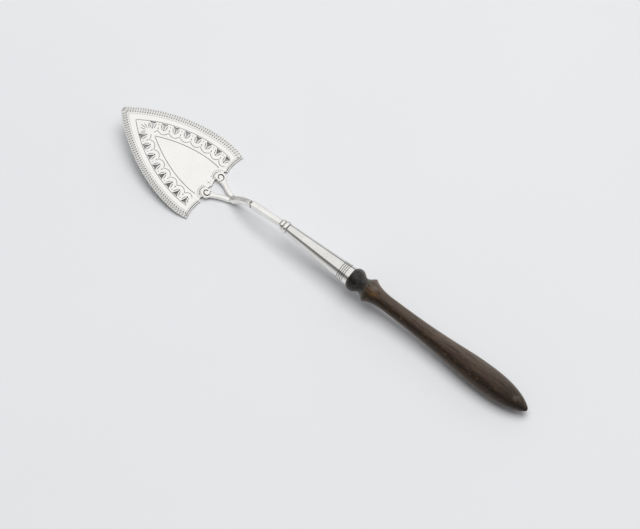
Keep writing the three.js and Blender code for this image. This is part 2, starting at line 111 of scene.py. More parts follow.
def raised(mesh, face, lift, flare=1.0):
    """Extrudes a face upwards, widens it about its middle and returns it. A lone face stays as the foot."""
    lone = all(len(edge.link_faces) == 1 for edge in face.edges)
    grown = bmesh.ops.extrude_face_region(mesh, geom=[face])["geom"]
    corners = [part for part in grown if isinstance(part, bmesh.types.BMVert)]
    top = next(part for part in grown if isinstance(part, bmesh.types.BMFace))
    if not lone:
        bmesh.ops.delete(mesh, geom=[face], context="FACES_ONLY")
    middle = sum((v.co for v in corners), Vector()) / len(corners)
    bmesh.ops.scale(mesh, vec=(flare, flare, 1), space=Matrix.Translation(-middle), verts=corners)
    bmesh.ops.translate(mesh, vec=(0, 0, lift), verts=corners)
    return top


def rounded(mesh, edges, radius, steps):
    bmesh.ops.bevel(
        mesh, geom=edges, offset=radius, offset_type="OFFSET", segments=steps, profile=0.5,
        affect="EDGES", material=-1, clamp_overlap=True,
    )


blade = bmesh.new()
raised(blade, blade.faces.new([blade.verts.new(p) for p in outline]), blade_thickness)
bmesh.ops.recalc_face_normals(blade, faces=blade.faces)
rims = [e for e in blade.edges if abs(e.verts[0].co.z - e.verts[1].co.z) < edge_rounding]
rounded(blade, rims, edge_rounding, steps=4)

# Piercings: small triangles with hollow sides, base outwards, sawn by eye in two rows that differ a little.
# Each was started from a drilled hole, which is left as its inner end. Its rim is eased with a file. Its sawn
# walls are painted near black, partly tarnish and partly painted shade in the hole. A round nick is filed in
# the heel beside each scroll.
piercing_inset = 6.5
piercing_base = 3.1
piercing_depth = 3.6
piercing_hollow = 0.18
drill_radius = 0.38
rim_easing = 0.12
rim_flare = 1.09
wall_lean = 0.1
nick_at = point(9.5, 1.1)
nick_radius = 1.15
row_count = 8
right_start = 3.7
right_step = 6.22
left_start = 5.2
left_step = 5.96
right_row = [right_start + right_step * i for i in range(row_count)]
left_row = [left_start + left_step * i for i in range(row_count)]
finishes = ("polished", "graver_cut", "saw_cut_and_shade")


def carve(body, tool, operation="DIFFERENCE"):
    """Cuts one bmesh with another, or joins them, and returns the result. Walls keep the tool's finish."""
    stand_ins = []
    for mesh in (body, tool):
        data = bpy.data.meshes.new("carving")
        mesh.to_mesh(data)
        mesh.free()
        for _ in finishes:
            data.materials.append(None)
        stand_ins.append(bpy.data.objects.new("carving", data))
        bpy.context.scene.collection.objects.link(stand_ins[-1])
    cut = stand_ins[0].modifiers.new("cut", "BOOLEAN")
    cut.operation = operation
    cut.solver = "EXACT"
    cut.use_self = True
    cut.object = stand_ins[1]
    result = bmesh.new()
    result.from_object(stand_ins[0], bpy.context.evaluated_depsgraph_get())
    for stand_in in stand_ins:
        data = stand_in.data
        bpy.data.objects.remove(stand_in)
        bpy.data.meshes.remove(data)
    return result


def inward_from(line):
    """At each point of a line, the direction that points into the blade."""
    found = []
    for before, after in zip(line[:1] + line[:-1], line[1:] + line[-1:]):
        heading = (after - before).normalized()
        found.append(point(-heading.y, heading.x))
    return found


side_line = cheek[:-1] + flank
side_inward = inward_from(side_line)
row_line = [p + piercing_inset * n for p, n in zip(side_line, side_inward)]
row_length = [0.0]
for a, b in zip(row_line, row_line[1:]):
    row_length.append(row_length[-1] + (b - a).length)


def beside_edge(along, inset):
    """The point at this distance along the row of piercings, and this far in from the blade's right edge."""
    i = max(k for k in range(len(row_length) - 1) if row_length[k] <= along)
    share = (along - row_length[i]) / (row_length[i + 1] - row_length[i])
    inward = side_inward[i].lerp(side_inward[i + 1], share).normalized()
    return side_line[i].lerp(side_line[i + 1], share) + inset * inward


def piercing(along):
    base = beside_edge(along, piercing_inset)
    inward = (beside_edge(along, piercing_inset + 1) - base).normalized()
    sideways = point(inward.y, -inward.x)
    corners = [
        base - sideways * piercing_base / 2,
        base + sideways * piercing_base / 2,
        base + inward * piercing_depth,
    ]
    middle = sum(corners, Vector()) / 3
    points = []
    for start, end in zip(corners, corners[1:] + corners[:1]):
        bow = start.lerp(end, 0.5).lerp(middle, 2 * piercing_hollow)
        points += quadratic(start, bow, end, count=7)[:-1]
    return points


fretsaw = bmesh.new()


def drill(middle, radius):
    bmesh.ops.create_cone(
        fretsaw, cap_ends=True, segments=24, radius1=radius, radius2=radius, depth=4 * blade_thickness,
        matrix=Matrix.Translation(middle),
    )


for row, turn in ((right_row, list), (left_row, mirrored)):
    drill(*turn([nick_at]), nick_radius)
    for along in row:
        hole = turn(piercing(along))
        face = fretsaw.faces.new([fretsaw.verts.new((p.x, p.y, -blade_thickness)) for p in hole])
        face = raised(fretsaw, face, 2 * blade_thickness - rim_easing)
        face = raised(fretsaw, face, rim_easing, rim_flare)
        raised(fretsaw, face, blade_thickness)
        drill(*turn([beside_edge(along, piercing_inset + piercing_depth)]), drill_radius)
bmesh.ops.recalc_face_normals(fretsaw, faces=fretsaw.faces)
# Painted shade: the sawn walls take a near-black finish, partly tarnish and partly the shade in each hole.
for face in fretsaw.faces:
    if abs(face.normal.z) < wall_lean:
        face.material_index = finishes.index("saw_cut_and_shade")
blade = carve(blade, fretsaw)

# Engraving: fine cuts made with a graver, each a furrow that runs out to a point at both ends. A ladder
# and a slanting hatch border the blade, leaves stand between the piercings, and a line runs round the
# plain panel. Fans spread from the scrolls, a palmette fills the tip and a small flower the heel.
graver = bpy.data.curves.new("graver", "CURVE")
graver.dimensions = "3D"
graver.twist_mode = "Z_UP"
graver.bevel_depth = 1.0
graver.bevel_resolution = 0
graver.use_fill_caps = True
graver_lift = 0.03
run_out = 0.15
tick_full = (0.3, 0.7)


def furrow(points, width):
    spline = graver.splines.new("POLY")
    spline.points.add(len(points) - 1)
    for i, (target, p) in enumerate(zip(spline.points, points)):
        target.co = (p.x, p.y, blade_thickness + graver_lift, 1)
        target.radius = width / 2 * (run_out if i in (0, len(points) - 1) else 1)


def tick(start, end, width):
    furrow([start] + [start.lerp(end, share) for share in tick_full] + [end], width)


def dot(middle, size):
    tick(middle - point(0, size / 2), middle + point(0, size / 2), size)


fine_line = 0.2
frieze_line = 0.38
panel_line = 0.44
border_insets = (1.5, 3.5)
border_heel_gap = 2.2
frieze_inset = 6.1
frieze_heel_gap = 4.2
frieze_tip_gain = 1.0
panel_inset = 14.1
panel_heel_gap = 5.3
tip_start = 0.7 * blade_length


def round_the_blade(inset, heel_gap, width, tip_gain=0.0):
    """A line this far in from the edge, and further by the tip, up one side and down the other."""
    line = []
    for p, n in zip(side_line, side_inward):
        gain = tip_gain * max(0, p.y - tip_start) / (blade_length - tip_start)
        line.append(p + (inset + gain) * n)
    half = [p for p in line if p.y > heel_gap and p.x > width]
    corner = next(a.lerp(b, a.x / (a.x - b.x)) for a, b in zip(line, line[1:]) if a.x > 0 >= b.x)
    furrow(half + [corner] + mirrored(half[::-1]), width)


for border_inset in border_insets:
    round_the_blade(border_inset, border_heel_gap, fine_line)
round_the_blade(frieze_inset, frieze_heel_gap, frieze_line, frieze_tip_gain)
round_the_blade(panel_inset, panel_heel_gap, panel_line)

ladder_step = 1.2
ladder_width = 0.66
ladder = (0.32, 1.2)
hatch_step = 1.2
hatch_width = 0.62
hatch = (1.8, 2.9)
hatch_lean = 0.5
border_gap = 1.2
tip_gap = 0.4
rung_stretch = slice(3, -2)
heel_line_inset = 1.6
border_end = row_length[-1] - tip_gap
for turn in (list, mirrored):
    for i in range(int((border_end - border_gap) / ladder_step)):
        along = border_gap + ladder_step * i
        if beside_edge(along, 0).x > tip_rounding:
            tick(*turn([beside_edge(along, inset) for inset in ladder]), ladder_width)
    for i in range(int((border_end - border_gap - hatch_lean) / hatch_step)):
        along = border_gap + hatch_step * i
        tick(*turn([beside_edge(along, hatch[0]), beside_edge(along + hatch_lean, hatch[1])]), hatch_width)
    rungs = list(zip(outer_heel, inward_from(outer_heel)))[rung_stretch]
    for p, n in rungs:
        tick(*turn([p + inset * n for inset in ladder]), ladder_width)
    furrow(turn([p + heel_line_inset * n for p, n in rungs]), fine_line)
for p, n in list(zip(nose, inward_from(nose)))[1:-1:2]:
    tick(p + ladder[0] * n, p + ladder[1] * n, ladder_width)
    tick(p + hatch[0] * n, p + hatch[1] * n, fine_line)

leaf_side = ((1.95, 7.0), (0.75, 10.4))
leaf_width = 0.46
vein = (6.9, 8.2)
vein_width = 0.34
seed = (9.0, 10.4)
seed_width = 0.5
cusp_inset = 10.8
lobe_inset = 12.5
for row, step, turn in ((right_row, right_step, list), (left_row, left_step, mirrored)):
    lobes = []
    for along in row:
        for hand in (-1, 1):
            tick(*turn([beside_edge(along + hand * aside, inset) for aside, inset in leaf_side]), leaf_width)
        ends = [beside_edge(along + hand * step / 2, cusp_inset) for hand in (-1, 1)]
        bow = beside_edge(along, 2 * lobe_inset - cusp_inset)
        lobes += quadratic(ends[0], bow, ends[1], count=9)[:-1]
    for along in row[:-1]:
        tick(*turn([beside_edge(along + step / 2, inset) for inset in vein]), vein_width)
        tick(*turn([beside_edge(along + step / 2, inset) for inset in seed]), seed_width)
    furrow(turn([p for p in lobes if p.x > frieze_line]), frieze_line)

scroll_middle = point(5.45, 1.55)
scroll_line = 3.55
scroll_line_width = 0.45
fan = (3.95, 5.0)
fan_width = 0.34
fan_step = 12
fan_angles = [math.radians(fan_step * i) for i in range(2, 13)]
fan_ways = [point(math.cos(angle), math.sin(angle)) for angle in fan_angles]
for turn in (list, mirrored):
    furrow(turn([scroll_middle + scroll_line * way for way in fan_ways]), scroll_line_width)
    for way in fan_ways[:-2]:
        tick(*turn([scroll_middle + reach * way for reach in fan]), fan_width)

palmette_foot = point(0, 44.6)
palmette_tips = ((0, 50.6), (1.7, 49.6), (3.1, 47.9))
palmette_root = 0.35
palmette_width = 0.42
flower_dots = ((0, 4.3, 0.7), (0, 3.2, 0.4), (1.1, 4.3, 0.4), (-1.1, 4.3, 0.4), (0, 5.4, 0.4))
for across, along in palmette_tips:
    leaf_tip = point(across, along)
    leaf_root = palmette_foot.lerp(leaf_tip, palmette_root)
    tick(leaf_root, leaf_tip, palmette_width)
    if across:
        tick(*mirrored([leaf_root, leaf_tip]), palmette_width)
for across, along, size in flower_dots:
    dot(point(across, along), size)

weld = 1e-4
drawing = bpy.data.objects.new("engraving", graver)
bpy.context.scene.collection.objects.link(drawing)
engraving = bmesh.new()
engraving.from_mesh(drawing.to_mesh())
drawing.to_mesh_clear()
bpy.data.objects.remove(drawing)
bpy.data.curves.remove(graver)
bmesh.ops.remove_doubles(engraving, verts=engraving.verts, dist=weld)
bmesh.ops.recalc_face_normals(engraving, faces=engraving.faces)
for face in engraving.faces:
    face.material_index = finishes.index("graver_cut")
blade = carve(blade, engraving)

# Silver, hand-polished: fine rubbing marks in no one direction, and slow clouds where the polish differs.
# Within reach of a corner it is greyed, partly as tarnish that the cloth doesn't reach and partly as painted
# shade. The engraved border is greyed, more on the left than on the right. The cuts of the graver are dark,
# and the sawn walls of the piercings are painted near black, partly tarnish and partly painted shade.
cloud_scale = 140.0
cloud_range = (0.35, 0.65)
rubbing_scale = 180.0
rubbing_ways = ((0.4, 14.0), (1.5, 10.0), (2.5, 18.0))
rubbing_range = (0.5, 0.75)
rubbing_strength = 0.12
rubbing_depth = 0.00002
tarnish_and_shade_range = (0.25, 0.85)
border_grey = (0.76, 0.762, 0.76, 1)
right_grey_share = 0.33
border_width = 4.0
border_ease = 1.9
arc_rise = blade_length - widest_at
arc_radius = (widest.x ** 2 + arc_rise ** 2) / (2 * widest.x)


def wire(tree, kind, inputs, **settings):
    """Adds a node with these settings, and sets each input or links it to the socket given for it."""
    node = tree.nodes.new(kind)
    for name, value in settings.items():
        setattr(node, name, value)
    for socket, value in inputs.items():
        if isinstance(value, bpy.types.NodeSocket):
            tree.links.new(value, node.inputs[socket])
        else:
            node.inputs[socket].default_value = value
    return node


def noise(tree, place, scale, detail, roughness=0.5):
    inputs = {"Vector": place, "Scale": scale, "Detail": detail, "Roughness": roughness}
    return wire(tree, "ShaderNodeTexNoise", inputs).outputs["Fac"]


def number_math(tree, operation, *values):
    return wire(tree, "ShaderNodeMath", dict(enumerate(values)), operation=operation).outputs[0]


def vector_math(tree, operation, *values):
    node = wire(tree, "ShaderNodeVectorMath", dict(enumerate(values)), operation=operation)
    return node.outputs["Value" if operation in ("DISTANCE", "DOT_PRODUCT", "LENGTH") else "Vector"]


def ranged(tree, value, low, high, to_low, to_high):
    inputs = {"Value": value, "From Min": low, "From Max": high, "To Min": to_low, "To Max": to_high}
    return wire(tree, "ShaderNodeMapRange", inputs).outputs["Result"]


def mixed(tree, factor, first, second, blend="MIX"):
    inputs = {0: factor, 6: first, 7: second}
    return wire(tree, "ShaderNodeMix", inputs, data_type="RGBA", blend_type=blend).outputs[2]


def measured(tree, place, origin, axes):
    """Object coordinates made into millimetres from an origin, along these axes."""
    inputs = {
        "Vector": place, "Location": origin, "Rotation": axes.to_euler(),
        "Scale": (millimetre, millimetre, millimetre),
    }
    return wire(tree, "ShaderNodeMapping", inputs, vector_type="TEXTURE").outputs["Vector"]


def blank_finish(name):
    """A new material, with its node tree, its shader and its Object coordinates."""
    material = bpy.data.materials.new(name)
    material.use_nodes = True
    tree = material.node_tree
    place = wire(tree, "ShaderNodeTexCoord", {}).outputs["Object"]
    return material, tree, tree.nodes["Principled BSDF"], place


def polish_group():
    group = bpy.data.node_groups.new("hand_polish", "ShaderNodeTree")
    group.interface.new_socket("Coordinates", in_out="INPUT", socket_type="NodeSocketVector")
    for name in ("Cloud", "Rubbing"):
        group.interface.new_socket(name, in_out="OUTPUT", socket_type="NodeSocketFloat")
    place = wire(group, "NodeGroupInput", {}).outputs["Coordinates"]
    cloud = noise(group, place, cloud_scale, detail=3.0)
    marks = []
    for turn, stretch in rubbing_ways:
        fine = rubbing_scale * stretch
        inputs = {"Vector": place, "Rotation": (0.0, 0.0, turn), "Scale": (rubbing_scale, fine, fine)}
        stretched = wire(group, "ShaderNodeMapping", inputs).outputs["Vector"]
        marks.append(noise(group, stretched, scale=1.0, detail=2.0))
    rubbing = number_math(group, "MAXIMUM", number_math(group, "MAXIMUM", marks[0], marks[1]), marks[2])
    wire(group, "NodeGroupOutput", {"Cloud": cloud, "Rubbing": rubbing})
    return group


hand_polish = polish_group()


def silver(name, bright, dull, tarnish_and_shade, smoothest, roughest, corner_reach, greying=None):
    """Polished silver, bright to dull; tarnish and painted shade near corners; grey where the border mask
    says.
    """
    material, tree, shader, place = blank_finish(name)
    shader.inputs["Metallic"].default_value = 1.0
    polish = wire(tree, "ShaderNodeGroup", {}, node_tree=hand_polish)
    tree.links.new(place, polish.inputs["Coordinates"])
    rubbing = polish.outputs["Rubbing"]
    tone = mixed(tree, ranged(tree, polish.outputs["Cloud"], *cloud_range, 0.0, 1.0), bright, dull)
    if greying:
        tone = mixed(tree, greying(tree, place), tone, border_grey, "MULTIPLY")
    # Painted shade and tarnish: the AO node greys the silver within reach of a corner.
    corner = wire(tree, "ShaderNodeAmbientOcclusion", {"Distance": corner_reach * millimetre}, samples=8)
    openness = ranged(tree, corner.outputs["AO"], *tarnish_and_shade_range, 0.0, 1.0)
    tree.links.new(mixed(tree, openness, tarnish_and_shade, tone), shader.inputs["Base Color"])
    tree.links.new(ranged(tree, rubbing, *rubbing_range, smoothest, roughest), shader.inputs["Roughness"])
    marks = {"Strength": rubbing_strength, "Distance": rubbing_depth, "Height": rubbing}
    tree.links.new(wire(tree, "ShaderNodeBump", marks).outputs["Normal"], shader.inputs["Normal"])
    return material


def within_border(tree, place):
    """How far the border's grey covers. The blade's sides are nearly arcs that start square to its widest
    line.
    """
    flat = measured(tree, place, to_frame.translation, up_slope)
    level = vector_math(tree, "MULTIPLY", vector_math(tree, "ABSOLUTE", flat), (1, 1, 0))
    from_middle = vector_math(tree, "DISTANCE", level, (widest.x - arc_radius, widest_at, 0))
    across = wire(tree, "ShaderNodeSeparateXYZ", {"Vector": flat}).outputs["X"]
    strength = ranged(tree, across, -border_width, border_width, 1, right_grey_share)
    start = arc_radius - border_width
    return ranged(tree, from_middle, start, start + border_ease, 0, strength)


polished_plate = silver(
    "polished_plate", bright=(0.94, 0.93, 0.91, 1), dull=(0.915, 0.905, 0.88, 1),
    tarnish_and_shade=(0.42, 0.4, 0.37, 1), smoothest=0.2, roughest=0.32, corner_reach=0.9, greying=within_border,
)
graver_cut = silver(
    "graver_cut", bright=(0.26, 0.25, 0.24, 1), dull=(0.18, 0.175, 0.165, 1), tarnish_and_shade=(0.1, 0.095, 0.09, 1),
    smoothest=0.3, roughest=0.45, corner_reach=0.3,
)
# Near-black silver for the sawn walls: partly tarnish, partly painted shade in the piercings.
saw_cut_and_shade = silver(
    "saw_cut_and_shade", bright=(0.09, 0.086, 0.08, 1), dull=(0.06, 0.057, 0.053, 1), tarnish_and_shade=(0.025, 0.023, 0.02, 1),
    smoothest=0.4, roughest=0.55, corner_reach=0.9,
)


def made(name, mesh, matrix, materials, sharp_from=None):
    """Places a bmesh by a matrix and makes it an object, smooth where its faces meet below an angle."""
    bmesh.ops.transform(mesh, matrix=matrix, verts=mesh.verts)
    data = bpy.data.meshes.new(name)
    mesh.to_mesh(data)
    mesh.free()
    for material in materials:
        data.materials.append(material)
    if sharp_from:
        data.shade_smooth()
        data.set_sharp_from_angle(angle=math.radians(sharp_from))
    piece = bpy.data.objects.new(name, data)
    bpy.context.scene.collection.objects.link(piece)
    return piece


blade_piece = made("engraved_blade", blade, to_frame @ up_slope, [polished_plate, graver_cut, saw_cut_and_shade])
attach(blade_piece, "root")
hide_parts("pierced_blade")

# Scroll arms: two forged silver arms, each drawn out at its end to a strip that curls in to an eye, with a
# deep groove between the turns. The scrolls are soldered on the blade's heel. The arms run together in the
# crotch, where they are let into the neck.
scroll_radius = 2.9
scroll_height = 2.0
scroll_rounding = 0.3
scroll_flat_at = 1.95
scroll_flat_way = math.radians(172)
scroll_step = math.radians(7)
strip_start = math.radians(-75)
strip_end = math.radians(200)
strip_back = math.radians(-110)
groove_start = math.radians(-138)
groove_end = math.radians(187)
groove_radii = (2.2, 0.85)
groove_widths = (0.75, 0.5)
solder = 0.05
arm_foot = 2.35
arm_head = 4.3
arm_depth = 2.6
arm_rounding = 0.55
arm_end = (1.3, 1.5)
arm_steps = 28
arm_narrowed_at = 0.45
arm_deepened_at = 0.5
leave_angle = math.radians(-42)
leave_reach = 3.4
arm_tip = Vector((13.2, 1.8, 0))
arm_tip_reach = Vector((6.3, -1.25, 0))
crotch_x = 10.0
crotch_lead = 0.5
crotch_height = 1.5
crotch_rise = 0.2

blade_normal = (up_slope @ Vector((0, 0, 1, 0))).to_3d()


def bar(stations, rounding):
    """A bar through its stations of middle, direction, up, width and depth, with its long edges rounded."""
    mesh = bmesh.new()
    square = math.sqrt(0.5)
    corner_first = Matrix.Rotation(math.pi / 4, 4, "Z")
    rings = []
    for i, (middle, ahead, up, width, depth) in enumerate(stations):
        forward = ahead.normalized()
        side = up.cross(forward).normalized()
        top = forward.cross(side)
        placed = Matrix((side * width, top * depth, forward)).transposed().to_4x4()
        placed.translation = middle
        ring = bmesh.ops.create_circle(
            mesh, cap_ends=i in (0, len(stations) - 1), segments=4, radius=square,
            matrix=placed @ corner_first,
        )
        rings.append(list({e for v in ring["verts"] for e in v.link_edges}))
    for ring, following in zip(rings, rings[1:]):
        bmesh.ops.bridge_loops(mesh, edges=ring + following)
    round_about = {e for ring in rings for e in ring}
    bmesh.ops.recalc_face_normals(mesh, faces=mesh.faces)
    rounded(mesh, [e for e in mesh.edges if e not in round_about], rounding, steps=4)
    return mesh


def directions(points):
    return [after - before for before, after in zip(points[:1] + points[:-1], points[1:] + points[-1:])]


def eased(share):
    within = max(0, min(1, share))
    return within * within * (3 - 2 * within)


def between(a, b, share):
    return a + (b - a) * share


def groove(angle, side):
    """The groove's radius at an angle round the scroll, at its outer (side 1) or inner edge (side -1)."""
    share = (angle - groove_start) / (groove_end - groove_start)
    return between(*groove_radii, share) + side * between(*groove_widths, share) / 2


def scroll_body():
    """The curled strip: out round its outer side and in to the eye, then back along the groove."""
    def steps(start, end):
        count = int(abs(end - start) / scroll_step)
        return [between(start, end, i / count) for i in range(count + 1)]

    def outer(angle):
        past_flat = math.cos(angle - scroll_flat_way)
        return min(scroll_radius, scroll_flat_at / past_flat) if past_flat > 0 else scroll_radius

    line = [(angle, outer(angle)) for angle in steps(strip_start, strip_end)]
    line += [(angle, groove(angle, -1)) for angle in steps(groove_start, groove_end)]
    line += [(angle, groove(angle, 1)) for angle in steps(groove_end, strip_back)]
    mesh = bmesh.new()
    foot = mesh.faces.new([
        mesh.verts.new(scroll_middle + Vector((r * math.cos(a), r * math.sin(a), blade_thickness - solder)))
        for a, r in line
    ])
    top = raised(mesh, foot, scroll_height + solder)
    bmesh.ops.recalc_face_normals(mesh, faces=mesh.faces)
    rounded(mesh, list(top.edges), scroll_rounding, steps=3)
    bmesh.ops.transform(mesh, matrix=up_slope, verts=mesh.verts)
    return mesh


def scroll_bore():
    """The round space inside the outer turn, which the arm's end leaves free."""
    mesh = bmesh.new()
    bmesh.ops.create_cone(
        mesh, cap_ends=True, segments=48, radius1=groove_radii[0], radius2=groove_radii[0],
        depth=6 * scroll_height, matrix=up_slope @ Matrix.Translation(scroll_middle),
    )
    return mesh


def arm_bar():
    heading = Vector((math.cos(leave_angle), math.sin(leave_angle), 0))
    leave = scroll_middle + scroll_radius * heading
    start = Vector((-leave.y * math.cos(blade_pitch), leave.x, 0))
    start_top = (up_slope @ Vector((leave.x, leave.y, blade_thickness + scroll_height))).z
    end_top = crotch_height + arm_depth / 2
    edge = interpolate_bezier(
        start, start + leave_reach * heading, arm_tip - arm_tip_reach, arm_tip, arm_steps + 1
    )
    stations = []
    for i, (p, d) in enumerate(zip(edge, directions(edge))):
        share = i / arm_steps
        buried = eased((p.x - crotch_x + crotch_lead) / (arm_tip.x - crotch_x))
        narrowed = between(arm_head, arm_foot, eased(share / arm_narrowed_at))
        deepened = between(scroll_height, arm_depth, eased(share / arm_deepened_at))
        width = between(narrowed, arm_end[0], buried)
        depth = between(deepened, arm_end[1], buried)
        inwards = Vector((d.y, -d.x, 0)).normalized()
        middle = p + inwards * width / 2
        lean = blade_normal.lerp(Vector((0, 0, 1)), eased(share))
        top = between(start_top, end_top, share) - (arm_depth - depth) / 2 * buried
        middle.z = top - depth / 2 - (middle.x - p.x) * lean.x + crotch_rise * max(0, p.x - crotch_x) ** 2
        stations.append((middle, d, lean, width, depth))
    return bar(stations, arm_rounding)


forged_silver = silver(
    "forged_silver", bright=(0.93, 0.92, 0.89, 1), dull=(0.88, 0.86, 0.83, 1), tarnish_and_shade=(0.16, 0.15, 0.13, 1),
    smoothest=0.14, roughest=0.26, corner_reach=1.2,
)
for side_name, hand in (("right", 1), ("left", -1)):
    arm = carve(carve(arm_bar(), scroll_bore()), scroll_body(), "UNION")
    bmesh.ops.remove_doubles(arm, verts=arm.verts, dist=weld)
    bmesh.ops.scale(arm, vec=(1, hand, 1), verts=arm.verts)
    bmesh.ops.recalc_face_normals(arm, faces=arm.faces)
    arm_piece = made(f"{side_name}_scroll", arm, to_frame, [forged_silver], sharp_from=35)
    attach(arm_piece, "root")
    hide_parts(f"{side_name}_scroll_arm")

# Neck: a forged silver bar that takes both arms, rises in a swan's curve and narrows to a tongue, which is
# let into the shaft and soldered there. A notch is filed across its top in front of the shaft.
neck_width = 3.1
neck_depth = 3.5
neck_foot_x = 9.3
neck_foot_height = 1.5
neck_foot = (1.6, 2.2)
neck_root = (4.7, 2.65)
neck_foot_reach = 4.2
neck_head_reach = 7.0
neck_rounding = 0.9
neck_steps = 40
neck_spread_rate = 3.6
neck_taper_rate = 2.2
neck_taper_delay = 0.2
lap_x = 25.0
lap_height = 12.5
lap_gap = 0.3
lap_notch = (0.9, 0.7)
notch_lean = -0.4
file_rounding = 0.05
tongue_length = 5.0
tongue_width = 1.6
tongue_depth = 1.8
tongue_rounding = 0.2
shaft_depth = 4.4
knop_x = 44.1
knop_height = 14.95

shaft_start = Vector((lap_x, 0, lap_height))
shaft_way = (Vector((knop_x, 0, knop_height)) - shaft_start).normalized()
shaft_up = Vector((-shaft_way.z, 0, shaft_way.x))
neck_end = shaft_start - lap_gap * shaft_way + (neck_depth - shaft_depth) / 2 * shaft_up


def neck_bar():
    foot = Vector((neck_foot_x, 0, neck_foot_height))
    foot_end = foot + Vector((neck_foot_reach, 0, 0))
    head_start = neck_end - neck_head_reach * shaft_way
    route = interpolate_bezier(foot, foot_end, head_start, neck_end, neck_steps + 1)
    stations = []
    for i, (p, d) in enumerate(zip(route, directions(route))):
        spread = eased(neck_spread_rate * i / neck_steps)
        taper = eased(neck_taper_rate * i / neck_steps - neck_taper_delay)
        width, depth = [
            between(between(small, large, spread), end, taper)
            for small, large, end in zip(neck_foot, neck_root, (neck_width, neck_depth))
        ]
        stations.append((p, d, Vector((0, 0, 1)), width, depth))
    return bar(stations, neck_rounding)


def tongue_bar(clearance):
    ends = (
        neck_end - (lap_gap + clearance) * shaft_way,
        neck_end + (lap_gap + tongue_length + clearance) * shaft_way,
    )
    width = tongue_width + 2 * clearance
    depth = tongue_depth + 2 * clearance
    return bar([(p, shaft_way, shaft_up, width, depth) for p in ends], tongue_rounding)


def notch_file():
    """A square file laid on edge across the neck's top, just in front of the shaft and lower on the right."""
    middle = neck_end - lap_notch[0] / 2 * shaft_way + neck_depth / 2 * shaft_up
    across = neck_width * Vector((0, 1, notch_lean))
    width, depth = [side * math.sqrt(0.5) for side in (lap_notch[0], 2 * lap_notch[1])]
    edge_up = (shaft_way + shaft_up).normalized()
    return bar([(middle + way * across, across, edge_up, width, depth) for way in (-1, 1)], file_rounding)


neck = carve(carve(neck_bar(), notch_file()), tongue_bar(0), "UNION")
neck_piece = made("swan_neck", neck, to_frame, [forged_silver], sharp_from=35)
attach(neck_piece, "root")
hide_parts("stem_neck")

# Shaft: a square silver bar, filed straight, its front end bevelled where it laps over the neck's tongue.
# A round tang at its back runs through the knop's rings into the socket, where it is soldered.
shaft_width = 3.3
shaft_end_width = 2.9
shaft_end_depth = 4.0
lap_bevel = 0.5
shaft_rounding = 0.45
mortise_play = 0.15
tang_radius = 1.5
tang_end = 11.2
front_ring_length = 1.8

ring_middles = [sum(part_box(name), Vector()) / 2 for name in ("knop_front_ring", "knop_rear_ring")]
axis_way = (ring_middles[1] - ring_middles[0]).normalized()
axis_start = ring_middles[0] - front_ring_length / 2 * millimetre * axis_way
axis_turn = axis_way.to_track_quat("X", "Z").to_matrix().to_4x4()
along_axis = Matrix.Translation(axis_start) @ axis_turn @ Matrix.Scale(millimetre, 4)
axis_in_stem = to_frame.inverted() @ along_axis


def turned(profile, steps):
    """A profile of (along, radius) points spun about the X axis into a closed body."""
    mesh = bmesh.new()
    line = [mesh.verts.new((along, 0, radius)) for along, radius in profile]
    edges = [mesh.edges.new(pair) for pair in zip(line, line[1:])]
    bmesh.ops.spin(
        mesh, geom=line + edges, cent=(0, 0, 0), axis=(1, 0, 0), angle=2 * math.pi, steps=steps,
        use_merge=True,
    )
    bmesh.ops.remove_doubles(mesh, verts=mesh.verts, dist=weld)
    bmesh.ops.recalc_face_normals(mesh, faces=mesh.faces)
    return mesh


def shaft_bar():
    back = axis_in_stem @ Vector((-lap_gap, 0, 0))
    back_way = (axis_in_stem @ Vector((1, 0, 0, 0))).to_3d()
    back_up = (axis_in_stem @ Vector((0, 0, 1, 0))).to_3d()
    return bar(
        [
            (shaft_start, shaft_way, shaft_up, shaft_width - lap_bevel, shaft_depth - lap_bevel),
            (shaft_start + lap_bevel * shaft_way, shaft_way, shaft_up, shaft_width, shaft_depth),
            (back, back_way, back_up, shaft_end_width, shaft_end_depth),
        ],
        shaft_rounding,
    )


tang = turned(
    [(-tang_radius, 0), (-tang_radius, tang_radius), (tang_end, tang_radius), (tang_end, 0)], steps=32
)
bmesh.ops.transform(tang, matrix=axis_in_stem, verts=tang.verts)
shaft = carve(carve(shaft_bar(), tang, "UNION"), tongue_bar(mortise_play))
shaft_piece = made("square_shaft", shaft, to_frame, [forged_silver], sharp_from=25)
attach(shaft_piece, "root")
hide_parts("stem_shaft")

# Knop: two turned silver rings, a smaller and a larger one, threaded on the tang and soldered side by side.
# Solder has run into the slit behind each ring, so that only a shallow groove is left there.
ring_gap = 0.3
ring_bore = 1.8
ring_crown = 0.6
ring_crown_steps = 16
ring_solder = 0.25
knop_rings = {
    "knop_front_ring": (0.0, 3.0, front_ring_length),
    "knop_rear_ring": (front_ring_length + ring_gap, 3.5, 2.1),
}
turned_silver = silver(
    "turned_silver", bright=(0.92, 0.91, 0.88, 1), dull=(0.87, 0.85, 0.82, 1), tarnish_and_shade=(0.34, 0.33, 0.3, 1),
    smoothest=0.14, roughest=0.26, corner_reach=0.8,
)


def ring_profile(start, radius, length):
    end = start + length + ring_solder
    reach = (end - start) / 2
    rise = ring_crown * reach
    crown = [
        (start + reach - reach * math.cos(a), radius - rise + rise * math.sin(a))
        for a in (math.pi * k / ring_crown_steps for k in range(ring_crown_steps + 1))
    ]
    return [(start, ring_bore)] + crown + [(end, ring_bore), (start, ring_bore)]


for node, sizes in knop_rings.items():
    ring = turned(ring_profile(*sizes), steps=64)
    ring_piece = made(node.replace("knop", "bead"), ring, along_axis, [turned_silver], sharp_from=40)
    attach(ring_piece, "root")
    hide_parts(node)

